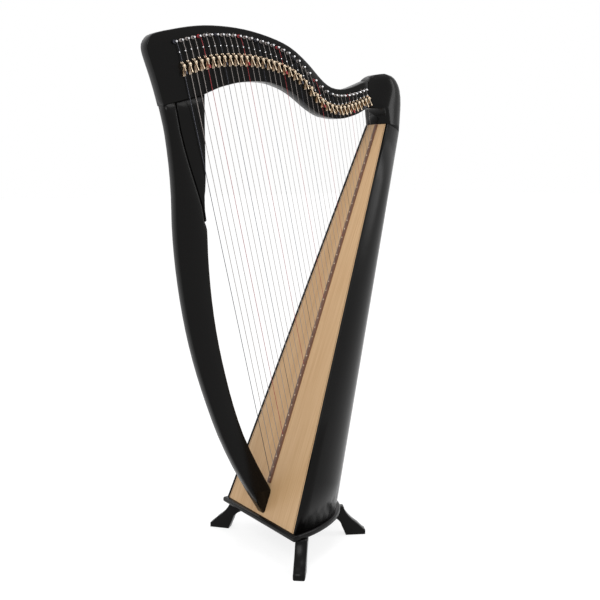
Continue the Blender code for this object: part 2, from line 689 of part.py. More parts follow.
def make_shoulder(finish):
    ledge = SHOULDER_FRONT_HEAD[1]
    rings = [shoulder_ring(z, True) for z in (*SHOULDER_LOW_RINGS, ledge - LEDGE_THICKNESS)]
    rings += [shoulder_ring(z, False) for z in (ledge, *SHOULDER_HIGH_RINGS)]
    shoulder = lofted("shoulder_block", rings, finish)
    cut(shoulder, board_slab("below shoulder", 0, BOARD_LENGTH + GAP, -0.5, 0.5))
    cut(shoulder, bpy.data.objects["string relief"])
    cut(shoulder, bpy.data.objects["bracket pocket"])
    return shoulder


# Strings and hardware


def string_radius(i):
    share = (i - 1) / (STRINGS - 1)
    return BASS_STRING_RADIUS + (TREBLE_STRING_RADIUS - BASS_STRING_RADIUS) * share ** 0.7


def spaced(first, bass, treble, i):
    """The place of string i when the spacing changes evenly from bass to treble."""
    k = i - 1
    return first + bass * k + (treble - bass) * k * k / (2 * (STRINGS - 1))


class StringLine:
    """Where string i starts on the rib, bends at its bridge pin and meets its tuning pin."""

    def __init__(self, i):
        self.number = i
        self.radius = string_radius(i)
        self.foot = at_board(spaced(FIRST_RIB_HOLE, BASS_RIB_SPACING, TREBLE_RIB_SPACING, i), 0, -GAP)
        x, z = crossing(BRIDGE_LINE, STRING_LEAN, spaced(FIRST_STRING, BASS_SPACING, TREBLE_SPACING, i))
        self.bend = Vector((x, -STRING_PLANE, z))
        self.along = (self.bend - self.foot).normalized()
        flat = Vector((self.along.x, 0, self.along.z)).normalized()
        self.lean = math.atan2(flat.x, flat.z)
        self.across = Vector((math.cos(self.lean), 0, -math.sin(self.lean)))
        tuning = crossing(TUNING_LINE, TUNING_LEAN, x * math.cos(TUNING_LEAN) - z * math.sin(TUNING_LEAN))
        self.peg = Vector((tuning[0], 0, tuning[1]))
        side = Vector((math.cos(TUNING_LEAN), 0, -math.sin(TUNING_LEAN)))
        self.head = self.peg + side * (TUNING_PIN_RADIUS + self.radius + GAP)
        self.head.y = -STRING_PLANE - 0.001
        self.length = (self.bend - self.foot).length
        self.drop = max(LEVER_DROP_BASE + LEVER_DROP_RATE * self.length, LEVER_DROP_LEAST)
        touch = self.bend - self.along * self.drop
        self.pivot = touch + Vector((0, -PIVOT_STANDOFF, 0))


def make_string_rib(lines, finish):
    """The hardwood strip on the soundboard with the strings that are held in it."""
    widths = (RIB_WIDTH_FOOT, RIB_WIDTH_TOP)
    corners = rib_corners(RIB_START, BOARD_LENGTH - GAP, widths, -GAP - RIB_THICKNESS, -GAP)
    rib = block("string_rib", corners, finish)
    tubes = bmesh.new()
    for line in lines:
        start = line.foot + line.along * (RIB_THICKNESS * 0.6)
        rings = []
        for point, along in ((start, line.along), (line.bend, (line.head - line.foot).normalized()),
                             (line.head, (line.head - line.bend).normalized())):
            side = Vector((0, 1, 0)).cross(along).normalized()
            third = along.cross(side)
            rings.append([point + line.radius * (math.cos(t) * side + math.sin(t) * third)
                          for t in np.linspace(0, 2 * math.pi, 5, endpoint=False)])
        loft(tubes, rings)
    bmesh.ops.recalc_face_normals(tubes, faces=tubes.faces)
    cut(rib, from_bmesh(tubes, "strings", helper=True), "UNION")
    return rib


def neck_hardware(lines):
    """Pins and brackets that sit in the neck, as closed shapes to be joined to it."""
    bridge_pins, tuning_pins, squares = bmesh.new(), bmesh.new(), bmesh.new()
    brackets, pivots = bmesh.new(), bmesh.new()
    inside = NECK_SIDE - 0.003
    for line in lines:
        pin = line.bend - line.across * (BRIDGE_PIN_RADIUS + line.radius + GAP)
        prism(bridge_pins, (pin.x, -inside, pin.z), (pin.x, -BRIDGE_PIN_REACH, pin.z),
              (BRIDGE_PIN_RADIUS,) * 2, 5)
        peg = line.peg
        prism(tuning_pins, (peg.x, -inside, peg.z), (peg.x, -TUNING_PIN_REACH, peg.z),
              (TUNING_PIN_RADIUS,) * 2, 6)
        prism(squares, (peg.x, inside, peg.z), (peg.x, TUNING_PIN_FAR_REACH, peg.z),
              (TUNING_PIN_SQUARE, TUNING_PIN_SQUARE * 0.8), 4)
        loft(brackets, bracket_rings(line))
        half = line.across * (BRACKET_WIDTH / 2 - BRACKET_SHEET / 2)
        prism(pivots, line.pivot - half, line.pivot + half, (PIVOT_PIN_RADIUS,) * 2, 4)
    bmesh.ops.recalc_face_normals(brackets, faces=brackets.faces)
    shapes = (("bridge pins", bridge_pins), ("tuning pins", tuning_pins), ("tuning pin squares", squares),
              ("lever brackets", brackets), ("lever pivots", pivots))
    return [from_bmesh(shape, name, helper=True) for name, shape in shapes]


def bracket_reach(line):
    """A bracket's nominal height and how far it goes below the pivot before the string nears its floor."""
    share = (line.number - 1) / (STRINGS - 1)
    height = BRACKET_HEIGHT_BASS + (BRACKET_HEIGHT_TREBLE - BRACKET_HEIGHT_BASS) * share
    string_meets_floor = 1 - (NECK_SIDE + BRACKET_FOOT + STRING_CLEARANCE) / STRING_PLANE
    return height, min((1 - BRACKET_RISE) * height, string_meets_floor * line.length - line.drop)


def bracket_rings(line):
    """A channel open to the string's run, with walls that rise to the lever's pivot."""
    height, below = bracket_reach(line)
    along = Vector((math.sin(line.lean), 0, math.cos(line.lean)))
    peak = line.pivot.y - BRACKET_CAP
    low = -NECK_SIDE - BRACKET_END_WALL
    rings = []
    outer, inner = BRACKET_WIDTH / 2, BRACKET_WIDTH / 2 - BRACKET_SHEET
    for step, wall in ((-below, low), (0.0, peak), (BRACKET_RISE * height, low)):
        back, floor = -NECK_SIDE + BRACKET_SUNK, -NECK_SIDE - BRACKET_FOOT
        section = ((-outer, back), (outer, back), (outer, wall), (inner, wall),
                   (inner, floor), (-inner, floor), (-inner, wall), (-outer, wall))
        centre = line.pivot + along * step
        rings.append([(centre.x + line.across.x * a, y, centre.z + line.across.z * a) for a, y in section])
    return rings


def polar(radius, *degrees):
    return [(radius * math.cos(t), radius * math.sin(t)) for t in np.radians(degrees)]


def lever_outline():
    """Hub, cam nose and handle seen along the pivot: u down the handle, v out from it."""
    nose = math.degrees(CAM_TURN)
    knob = HANDLE_LENGTH - KNOB_RADIUS
    return [
        *polar(HUB_RADIUS, 60, 105), *polar(CAM_REACH, nose - 12, nose + 12),
        *polar(HUB_RADIUS, 185, 240, 300),
        (HUB_RADIUS, -HANDLE_ROOT), (knob - KNOB_RADIUS, -HANDLE_TIP),
        *((knob + u, v) for u, v in polar(KNOB_RADIUS, -90, -20, 20, 90)),
        (knob - KNOB_RADIUS, HANDLE_TIP), (HUB_RADIUS, HANDLE_ROOT),
    ]


def lever_mesh():
    shape = outline_mesh([lever_outline(), polar(LEVER_BORE_RADIUS, *range(0, 360, 60))], LEVER_WIDTH / 2)
    mesh = bpy.data.meshes.new("lever")
    shape.to_mesh(mesh)
    shape.free()
    return mesh


def make_levers(lines, finish):
    """One sharpening lever for each string, with its origin on its pivot."""
    mesh = lever_mesh()
    for line in lines:
        down = -Vector((math.sin(line.lean), 0, math.cos(line.lean)))
        out = Vector((0, -1, 0))
        handle = math.cos(HANDLE_REST) * down + math.sin(HANDLE_REST) * out
        axis = -line.across
        lift = axis.cross(handle)
        turn = Matrix((handle, lift, axis)).transposed().to_4x4()
        lever = keep(bpy.data.objects.new("lever", mesh), f"lever_{line.number:02d}", finish)
        lever.data = mesh
        lever.matrix_local = Matrix.Translation(line.pivot) @ turn


def main():
    fresh_scene()
    carrier = bpy.data.objects.new("harp", None)
    bpy.data.collections["Harp"].objects.link(carrier)
    front = min(x for x, _ in neck_outline())
    back = max(x for _, x in smooth(SHOULDER_BACK, 8))
    carrier.location.x = -(front + back) / 2

    lacquer = material("black lacquer", (0.016, 0.016, 0.018), 0.25)
    spruce = material("spruce", (0.58, 0.36, 0.15), 0.45)
    walnut = material("walnut", (0.19, 0.06, 0.022), 0.4)
    plain_wood = material("maple", (0.55, 0.36, 0.19), 0.6)
    brass = material("brass", (0.68, 0.48, 0.22), 0.25, 1.0)
    steel = material("steel", (0.6, 0.6, 0.6), 0.3, 1.0)

    level_slab("below base top", -0.5, BASE_TOP + GAP)
    level_slab("foot space", 0, FLOOR_TO_BOARD - GAP)
    make_seam_cutter()
    make_bolt_cutters()
    box_core()
    lines = [StringLine(i) for i in range(1, STRINGS + 1)]
    make_string_relief(lines)
    make_bracket_pocket(lines[-1])

    make_base_board(lacquer)
    for name, toe, heading, side in (
        ("foot_front_lever_side", FRONT_TOE, FRONT_SPLAY, -1),
        ("foot_front_far_side", FRONT_TOE, FRONT_SPLAY, 1),
        ("foot_rear_lever_side", REAR_TOE, REAR_SPLAY, -1),
        ("foot_rear_far_side", REAR_TOE, REAR_SPLAY, 1),
    ):
        make_foot(name, toe, heading, side, lacquer)
    make_soundbox_shell(lacquer)
    make_soundboard(spruce)
    make_lining("lining_lever_side", -1, plain_wood)
    make_lining("lining_far_side", 1, plain_wood)
    for number, s in enumerate(BRACE_STATIONS, 1):
        make_brace(f"brace_{number}", s, plain_wood)
    make_tail_block(plain_wood)
    make_pillar_bolt(steel)
    make_inner_rib(plain_wood)
    make_pillar(lacquer)
    make_knee_block(lacquer)
    make_neck(lines, lacquer)
    make_shoulder(lacquer)
    make_string_rib(lines, walnut)
    make_levers(lines, brass)


main()
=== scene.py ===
"""Looks of a floor-standing lever harp: lacquer, spruce, walnut, brass levers and strings.

Metres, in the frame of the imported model. The harp's own places are written from the front
edge of its base board, as x back to the player, y to the far side and z up, and moved by
HARP_FRONT. On the soundboard, s runs up from its lower edge and n goes back into the box.
"""

import json
import math

import bmesh
import bpy
import numpy as np
from mathutils import Matrix, Vector


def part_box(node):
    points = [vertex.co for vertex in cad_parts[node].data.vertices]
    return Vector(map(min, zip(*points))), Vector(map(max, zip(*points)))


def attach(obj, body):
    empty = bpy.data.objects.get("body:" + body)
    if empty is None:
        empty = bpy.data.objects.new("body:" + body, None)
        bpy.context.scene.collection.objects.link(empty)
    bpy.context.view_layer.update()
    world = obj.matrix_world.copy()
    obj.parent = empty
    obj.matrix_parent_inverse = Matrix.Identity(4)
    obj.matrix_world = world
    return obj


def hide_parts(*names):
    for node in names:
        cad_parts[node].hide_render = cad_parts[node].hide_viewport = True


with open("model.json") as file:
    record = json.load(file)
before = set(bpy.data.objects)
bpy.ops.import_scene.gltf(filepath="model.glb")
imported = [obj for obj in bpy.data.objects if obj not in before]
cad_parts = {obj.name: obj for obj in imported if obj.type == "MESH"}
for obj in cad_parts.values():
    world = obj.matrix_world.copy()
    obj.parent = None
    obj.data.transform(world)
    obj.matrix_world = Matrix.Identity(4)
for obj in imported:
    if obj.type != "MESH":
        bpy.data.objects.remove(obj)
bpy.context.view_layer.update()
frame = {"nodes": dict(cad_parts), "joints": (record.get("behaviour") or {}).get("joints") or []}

# Camera, in the row frame
CAMERA_PLACE = (-1.4891, -2.2434, 1.1417)
CAMERA_YAW = math.radians(34.59)
CAMERA_PITCH = math.radians(8.24)
CAMERA_LENS = 55.2

# Soundboard
BOARD_FOOT = (0.0115, 0.0, 0.108)
BOARD_LEAN = math.radians(20.5)
BOARD_LENGTH = 1.242
BOARD_HALF_FOOT = 0.1795
BOARD_HALF_TOP = 0.0432
PURFLING_INSET = 0.0035
PURFLING_WIDTH = 0.0014
PURFLING_PROUD = 0.0001
RIB_START = 0.100
RIB_HALF_FOOT = 0.010
RIB_HALF_TOP = 0.0065
RIB_THICKNESS = 0.0033
EYELET_SIDES = 14

# Strings
STRINGS = 38
STRING_LEAN = math.radians(-13.65)
FIRST_STRING = 0.1044
BASS_SPACING = 0.0185
TREBLE_SPACING = 0.0134
FIRST_RIB_HOLE = 0.1153
BASS_RIB_SPACING = 0.0331
TREBLE_RIB_SPACING = 0.0250
STRING_PLANE = 0.0290
BASS_STRING = 0.0009
TREBLE_STRING = 0.00035
BRIDGE_LINE = (
    (-0.2480, 1.4365), (-0.1890, 1.4526), (-0.1350, 1.4621), (-0.0805, 1.4655), (-0.0286, 1.4634),
    (0.0260, 1.4553), (0.0802, 1.4410), (0.1180, 1.4238), (0.1563, 1.3962), (0.1947, 1.3596),
    (0.2310, 1.3364), (0.2640, 1.3254), (0.2915, 1.3260), (0.3300, 1.3358), (0.3600, 1.3462),
    (0.3870, 1.3560), (0.4050, 1.3630),
)
TUNING_LINE = (
    (-0.2700, 1.4600), (-0.1685, 1.4865), (-0.0774, 1.4926), (-0.0050, 1.4857), (0.0652, 1.4701),
    (0.1186, 1.4470), (0.1552, 1.4186), (0.1967, 1.3825), (0.2315, 1.3587), (0.2654, 1.3491),
    (0.3090, 1.3506), (0.3506, 1.3612), (0.3763, 1.3699),
)
TUNING_LEAN = math.radians(-28)
FIRST_RED = 4  # counted from 0, then every seventh
FIRST_DARK = 0
OCTAVE = 7

# Neck hardware
NECK_SIDE = 0.021
TOUCH_GAP = 0.0003
TUNING_PIN_RADIUS = 0.0028
TUNING_PIN_REACH = 0.0400
TUNING_PIN_FAR_REACH = 0.0430
BRIDGE_PIN_RADIUS = 0.0017
BRIDGE_PIN_REACH = 0.0330
PIVOT_STANDOFF = 0.0064
HANDLE_REST = math.radians(17)
LEVER_TRAVEL = math.radians(110)
CAM_TURN = math.radians(270) - HANDLE_REST - LEVER_TRAVEL
CAM_REACH = 0.0051
HUB_RADIUS = 0.0036
LEVER_HALF_WIDTH = 0.0021
HANDLE_LENGTH = 0.0235
WALL_INNER = 0.0025
WALL_OUTER = 0.0038
BRACKET_FOOT = 0.0016
BRACKET_BASS = 0.0370
BRACKET_TREBLE = 0.0270
BRACKET_RISE = 0.30
BRACKET_CAP = 0.0024
STRING_CLEARANCE = 0.0010
DROP_BASE = 0.002
DROP_RATE = 0.0272
DROP_LEAST = 0.011
WINDING_TURNS = 3.5
TAIL_LENGTH = 0.013

BODY = "harp_frame"
HARP_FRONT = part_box("base_board")[0].x
LACQUERED = ("base_board", "foot_front_lever_side", "foot_front_far_side", "foot_rear_lever_side",
             "foot_rear_far_side", "soundbox_shell", "pillar", "knee_block", "shoulder_block")
INNER_WOOD = ("lining_lever_side", "lining_far_side", "brace_1", "brace_2", "brace_3", "tail_block",
              "inner_string_rib")


# Meshes from arrays


def swept(path, radius, sides=8, reference=(0.0, 1.0, 0.0), turn=0.0):
    """A closed tube: at each point of the path, a ring of that radius square to the path.

    ring(p, a) = path(p) + radius(p) * (cos a * side(p) + sin a * third(p)).
    """
    path = np.asarray(path, float)
    radius = np.broadcast_to(np.asarray(radius, float), len(path))
    ahead = np.gradient(path, axis=0)
    ahead /= np.linalg.norm(ahead, axis=1, keepdims=True)
    side = np.cross(ahead, reference)
    side /= np.linalg.norm(side, axis=1, keepdims=True)
    third = np.cross(side, ahead)
    angle = np.linspace(0, 2 * np.pi, sides, endpoint=False) + turn
    ring = np.cos(angle)[None, :, None] * side[:, None] + np.sin(angle)[None, :, None] * third[:, None]
    points = (path[:, None] + radius[:, None, None] * ring).reshape(-1, 3)
    return skin(points, len(path), sides)


def skin(points, rows, count):
    """Quads between neighbouring rings of a grid, with a centre point closing each end."""
    row, column = np.meshgrid(np.arange(rows - 1), np.arange(count), indexing="ij")
    after = (column + 1) % count
    quads = np.stack([row * count + column, row * count + after, (row + 1) * count + after,
                      (row + 1) * count + column], -1).reshape(-1, 4)
    first, last = points[:count].mean(0), points[-count:].mean(0)
    base = len(points)
    c = np.arange(count)
    low = np.stack([np.full(count, base), (c + 1) % count, c], -1)
    top = (rows - 1) * count
    high = np.stack([np.full(count, base + 1), top + c, top + (c + 1) % count], -1)
    return np.vstack([points, first, last]), [*quads.tolist(), *low.tolist(), *high.tolist()]


def together(shapes):
    """Several (points, faces) pairs as one."""
    points, faces, start = [], [], 0
    for some_points, some_faces in shapes:
        points.append(some_points)
        faces.extend([[v + start for v in face] for face in some_faces])
        start += len(some_points)
    return np.vstack(points), faces


def piece(name, shape, finish, body=BODY, sharp=40):
    """A new object from points and faces, with outward normals, on a body of the frame."""
    points, faces = shape
    mesh = bpy.data.meshes.new(name)
    mesh.from_pydata(np.asarray(points, float).tolist(), [], faces)
    shaped = bmesh.new()
    shaped.from_mesh(mesh)
    bmesh.ops.remove_doubles(shaped, verts=shaped.verts, dist=1e-7)
    bmesh.ops.recalc_face_normals(shaped, faces=shaped.faces)
    shaped.to_mesh(mesh)
    shaped.free()
    return dress(bpy.data.objects.new(name, mesh), finish, body, sharp)


def dress(obj, finish, body=BODY, sharp=40):
    if not obj.users_collection:
        bpy.context.scene.collection.objects.link(obj)
    obj.data.materials.clear()
    obj.data.materials.append(finish)
    obj.data.shade_smooth()
    obj.data.set_sharp_from_angle(angle=math.radians(sharp))
    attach(obj, body)
    return obj


def at_board(s, y, n):
    """Places on the soundboard, from s up it, y across it and n behind its face."""
    s, y, n = np.broadcast_arrays(*(np.asarray(v, float) for v in (s, y, n)))
    x = BOARD_FOOT[0] + s * math.sin(BOARD_LEAN) + n * math.cos(BOARD_LEAN) + HARP_FRONT
    z = BOARD_FOOT[2] + s * math.cos(BOARD_LEAN) - n * math.sin(BOARD_LEAN)
    return np.stack([x, y, z], -1)


def smooth(points, steps):
    """A Catmull-Rom curve through the points."""
    p = np.array(points, float)
    p = np.vstack([2 * p[0] - p[1], p, 2 * p[-1] - p[-2]])
    t = np.linspace(0, 1, steps, endpoint=False)[None, :, None]
    a, b, c, d = (p[k:len(p) - 3 + k][:, None] for k in range(4))
    runs = b + 0.5 * t * (c - a + t * (2 * a - 5 * b + 4 * c - d + t * (3 * (b - c) + d - a)))
    return np.vstack([runs.reshape(-1, 2), p[-2]])


# Strings and their places


def crossing(line, lean, distance):
    """Where a smooth line lies this far across strings of this lean."""
    curve = smooth(line, 40)
    across = curve[:, 0] * math.cos(lean) - curve[:, 1] * math.sin(lean)
    return np.stack([np.interp(distance, across, curve[:, 0]), np.interp(distance, across, curve[:, 1])], -1)


def spaced(first, bass, treble):
    k = np.arange(STRINGS)
    return first + bass * k + (treble - bass) * k * k / (2 * (STRINGS - 1))


def string_places():
    """Foot on the rib, bend at the bridge pin, tuning pin, lean and radius of every string."""
    share = np.arange(STRINGS) / (STRINGS - 1)
    radius = BASS_STRING + (TREBLE_STRING - BASS_STRING) * share ** 0.7
    foot = at_board(spaced(FIRST_RIB_HOLE, BASS_RIB_SPACING, TREBLE_RIB_SPACING), 0, -TOUCH_GAP)
    bend_xz = crossing(BRIDGE_LINE, STRING_LEAN, spaced(FIRST_STRING, BASS_SPACING, TREBLE_SPACING))
    peg_xz = crossing(TUNING_LINE, TUNING_LEAN,
                      bend_xz[:, 0] * math.cos(TUNING_LEAN) - bend_xz[:, 1] * math.sin(TUNING_LEAN))
    bend = np.stack([bend_xz[:, 0] + HARP_FRONT, np.full(STRINGS, -STRING_PLANE), bend_xz[:, 1]], -1)
    peg = np.stack([peg_xz[:, 0] + HARP_FRONT, np.zeros(STRINGS), peg_xz[:, 1]], -1)
    run = bend - foot
    length = np.linalg.norm(run, axis=1)
    lean = np.arctan2(run[:, 0], run[:, 2])
    across = np.stack([np.cos(lean), np.zeros(STRINGS), -np.sin(lean)], -1)
    drop = np.maximum(DROP_BASE + DROP_RATE * length, DROP_LEAST)
    pivot = bend - run / length[:, None] * drop[:, None] - np.array([0, PIVOT_STANDOFF, 0])
    side = np.array([math.cos(TUNING_LEAN), 0, -math.sin(TUNING_LEAN)])
    head = peg + side * (TUNING_PIN_RADIUS + radius + TOUCH_GAP)[:, None]
    head[:, 1] = -STRING_PLANE - 0.001
    return dict(share=share, radius=radius, foot=foot, bend=bend, peg=peg, head=head, length=length,
                lean=lean, across=across, drop=drop, pivot=pivot)


def string_shape(p, i, draw):
    """Rib to bridge pin to tuning pin, then a helix of windings and a stray end."""
    radius = p["radius"][i]
    run = (p["bend"][i] - p["foot"][i]) / p["length"][i]
    start = p["foot"][i] + run * RIB_THICKNESS * 0.5
    above, below = (p["head"][i] - p["bend"][i]) * 0.12, run * 0.003
    bent = [start, p["bend"][i] - below, p["bend"][i] + (above - below) * 0.12, p["bend"][i] + above, p["head"][i]]
    turns = np.linspace(0, WINDING_TURNS * 2 * np.pi, int(WINDING_TURNS * 14))
    coil = TUNING_PIN_RADIUS + radius * 1.05
    begin = -TUNING_LEAN
    helix = np.stack([p["peg"][i, 0] + coil * np.cos(turns + begin),
                      -STRING_PLANE - 0.001 + turns / (2 * np.pi) * radius * 2.15,
                      p["peg"][i, 2] + coil * np.sin(turns + begin)], -1)
    leave = helix[-1]
    aim = np.array([draw.uniform(-0.5, 0.9), draw.uniform(-0.5, -0.2), draw.uniform(0.2, 1.0)])
    aim *= TAIL_LENGTH * draw.uniform(0.5, 1.0) / np.linalg.norm(aim)
    away = leave - p["peg"][i]
    away[1] = 0
    tail_t = np.linspace(0, 1, 6)[:, None]
    tail = leave + away * tail_t * 0.8 + aim * tail_t ** 2
    return together([swept(bent, radius), swept(helix, radius, 6), swept(tail, radius * 0.8, 6, (0.3, 0.2, 0.9))])


def make_strings(p, finishes):
    draw = np.random.default_rng(38)
    groups = {"red": [], "dark": [], "plain": []}
    for i in range(STRINGS):
        kind = "red" if i % OCTAVE == FIRST_RED else "dark" if i % OCTAVE == FIRST_DARK else "plain"
        groups[kind].append(string_shape(p, i, draw))
    return [piece(f"strings_{kind}", together(shapes), finishes[kind]) for kind, shapes in groups.items()]


# Rib, eyelets and purfling


def rib_shape():
    """Half a rounded bar along the board: its width tapers and its top is a low arch."""
    s = np.r_[RIB_START, RIB_START + 0.002, np.linspace(RIB_START + 0.01, BOARD_LENGTH - 0.0005, 30)]
    half = RIB_HALF_FOOT + (RIB_HALF_TOP - RIB_HALF_FOOT) * s / BOARD_LENGTH
    half[0] *= 0.85
    arch = np.linspace(0, np.pi, 13)
    y = np.r_[np.cos(arch), -1.0, 1.0]
    n = np.r_[-TOUCH_GAP - (RIB_THICKNESS - TOUCH_GAP) * (0.55 + 0.45 * np.sin(arch)), -TOUCH_GAP, -TOUCH_GAP]
    grid = at_board(s[:, None], half[:, None] * y[None, :], np.broadcast_to(n, (len(s), len(n))))
    return skin(grid.reshape(-1, 3), len(s), len(n))


def eyelet_shape(place, radius):
    """A small turned ferrule: a ring of brass around a string hole."""
    axis = at_board(0, 0, -1) - at_board(0, 0, 0)
    side = np.array([0.0, 1.0, 0.0])
    height = RIB_THICKNESS + np.array([-0.0010, 0.0000, 0.0006, 0.0008, 0.0006, -0.0010])
    wide = radius + np.array([0.0014, 0.0016, 0.0012, 0.0006, 0.0002, 0.0002])
    angle = np.linspace(0, 2 * np.pi, EYELET_SIDES, endpoint=False)[None, :, None]
    ring = np.cos(angle) * side + np.sin(angle) * np.cross(axis, side)
    points = place + height[:, None, None] * axis + wide[:, None, None] * ring
    return skin(points.reshape(-1, 3), len(height), EYELET_SIDES)


def purfling_shape(side):
    """A thin strip of veneer beside the soundboard's edge."""
    s = np.linspace(0.0012, BOARD_LENGTH - 0.001, 24)
    edge = BOARD_HALF_FOOT + (BOARD_HALF_TOP - BOARD_HALF_FOOT) * s / BOARD_LENGTH - PURFLING_INSET
    y = side * (edge[:, None] - np.array([0.0, 0.0, PURFLING_WIDTH, PURFLING_WIDTH]))
    n = np.array([0.0, -PURFLING_PROUD, -PURFLING_PROUD, 0.0])
    return skin(at_board(s[:, None], y, n[None, :]).reshape(-1, 3), len(s), 4)


# Pins, brackets and levers


def along_y(x, z, ys, radii, sides, turn=0.0):
    """A turned pin across the neck, from its profile of y and radius."""
    path = np.stack([np.full(len(ys), x), ys, np.full(len(ys), z)], -1)
    return swept(path, radii, sides, (0.0, 0.0, 1.0), turn)


def make_pins(p, steel):
    tuning, bridge, squares = [], [], []
    reach, far = TUNING_PIN_REACH, TUNING_PIN_FAR_REACH
    for i in range(STRINGS):
        x, _, z = p["peg"][i]
        tuning.append(along_y(x, z, np.array([-0.0195, -reach + 0.0012, -reach + 0.0004, -reach]),
                              TUNING_PIN_RADIUS * np.array([1, 1, 0.86, 0.55]), 18))
        squares.append(along_y(x, z, np.array([0.0200, 0.0260, 0.0262, far - 0.001, far]),
                               0.0036 * np.array([1, 1, 0.98, 0.84, 0.70]), 4, math.pi / 4))
        centre = p["bend"][i] - p["across"][i] * (BRIDGE_PIN_RADIUS + p["radius"][i] + TOUCH_GAP)
        end = BRIDGE_PIN_REACH
        bridge.append(along_y(centre[0], centre[2],
                              np.array([-0.0195, -0.0272, -0.0280, -0.0300, -0.0308, -end + 0.0006, -end]),
                              BRIDGE_PIN_RADIUS * np.array([1, 1, 0.82, 0.82, 1.0, 1.0, 0.6]), 16))
    piece("tuning_pins", together(tuning), steel)
    piece("tuning_pin_squares", together(squares), steel, sharp=25)
    piece("bridge_pins", together(bridge), steel)


def bracket_shapes(p, i):
    """Two walls with a rounded peak, a floor between them and two screw heads."""
    height = BRACKET_BASS + (BRACKET_TREBLE - BRACKET_BASS) * p["share"][i]
    clear = 1 - (NECK_SIDE + BRACKET_FOOT + STRING_CLEARANCE) / STRING_PLANE
    below = min((1 - BRACKET_RISE) * height, clear * p["length"][i] - p["drop"][i])
    rise = BRACKET_RISE * height
    peak = -p["pivot"][i, 1] + BRACKET_CAP
    along = np.array([math.sin(p["lean"][i]), 0, math.cos(p["lean"][i])])
    across, pivot = p["across"][i], p["pivot"][i]
    cap = np.linspace(-1.15, 1.15, 9)
    steps = np.r_[-below, -below, -below * 0.55, 0.0040 * np.sin(cap), rise * 0.7, rise, rise]
    low = NECK_SIDE + 0.0040
    crown = peak - 0.0030 + 0.0030 * np.cos(cap)
    tall = np.r_[NECK_SIDE, low, low + 0.001, crown, low + 0.002, low, NECK_SIDE]
    outline = pivot * [1, 0, 1] + steps[:, None] * along - tall[:, None] * np.array([0, 1, 0])
    shapes = []
    for near, far in ((WALL_INNER, WALL_OUTER), (-WALL_OUTER, -WALL_INNER)):
        both = np.vstack([outline + across * near, outline + across * far])
        shapes.append(skin(both, 2, len(outline)))
    corners = [(-below, -WALL_OUTER), (-below, WALL_OUTER), (rise, WALL_OUTER), (rise, -WALL_OUTER)]
    floor = [pivot * [1, 0, 1] + step * along + wide * across - np.array([0, deep, 0])
             for deep in (NECK_SIDE, NECK_SIDE + BRACKET_FOOT) for step, wide in corners]
    shapes.append(skin(np.array(floor), 2, 4))
    ends = np.array([across * (-WALL_OUTER - 0.0004), across * (-WALL_OUTER), across * WALL_OUTER,
                     across * (WALL_OUTER + 0.0004)])
    shapes.append(swept(pivot + ends, np.array([0.0009, 0.0012, 0.0012, 0.0009]), 12))
    return shapes


def lever_shape(pivot, axis):
    """Hub, cam and a handle with a swollen end, in the lever's own u, v, w directions."""
    axis = np.array(axis, float)
    out = np.array([0.0, -1.0, 0.0])
    down = np.cross(axis, out) * -1
    down *= -1 if down[2] > 0 else 1
    handle = math.cos(HANDLE_REST) * down + math.sin(HANDLE_REST) * out
    lift = np.cross(axis, handle)
    w = LEVER_HALF_WIDTH
    hub = swept(pivot + np.array([[-w], [-w + 0.0004], [w - 0.0004], [w]]) * axis,
                HUB_RADIUS * np.array([0.9, 1, 1, 0.9]), 20)
    aim = math.cos(CAM_TURN) * handle + math.sin(CAM_TURN) * lift
    cam = swept(pivot + np.array([[0.001], [0.0034], [CAM_REACH - 0.0005], [CAM_REACH]]) * aim,
                np.array([0.0018, 0.0018, 0.0016, 0.0009]), 12, tuple(axis))
    u = HANDLE_LENGTH * np.array([0.08, 0.2, 0.4, 0.62, 0.78, 0.86, 0.93, 0.98, 1.0])
    thick = np.array([0.0018, 0.0016, 0.0013, 0.0012, 0.0014, 0.0019, 0.0020, 0.0015, 0.0006])
    grip = swept(pivot + u[:, None] * handle, thick, 14, tuple(axis))
    mark = swept(pivot + HANDLE_LENGTH * np.array([[0.60], [0.62], [0.98], [1.01]]) * handle,
                 np.array([0.0014, 0.0021, 0.0023, 0.0008]), 14, tuple(axis))
    return together([hub, cam, grip]), mark


def make_levers(brass, enamels):
    for i, joint in enumerate(sorted(frame["joints"], key=lambda j: j["child"])):
        body = joint["child"]
        shape, mark = lever_shape(np.array(joint["pos_m"]), joint["axis"])
        lever = piece(f"{body}_casting", shape, brass, body)
        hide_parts(body)
        kind = "red" if i % OCTAVE == FIRST_RED else "dark" if i % OCTAVE == FIRST_DARK else None
        if kind:
            piece(f"{body}_mark", mark, enamels[kind], body)


# Lacquered wood from the frame


def merged_copy(node, name):
    """The node's own solid with its loose triangles joined, for smooth shading."""
    mesh = frame["nodes"][node].data.copy()
    mesh.name = name
    shaped = bmesh.new()
    shaped.from_mesh(mesh)
    bmesh.ops.remove_doubles(shaped, verts=shaped.verts, dist=2e-6)
    return mesh, shaped


def make_lacquered(finish):
    for node in LACQUERED:
        mesh, shaped = merged_copy(node, f"{node}_lacquered")
        shaped.to_mesh(mesh)
        shaped.free()
        obj = dress(bpy.data.objects.new(f"{node}_lacquered", mesh), finish, sharp=38)
        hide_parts(node)


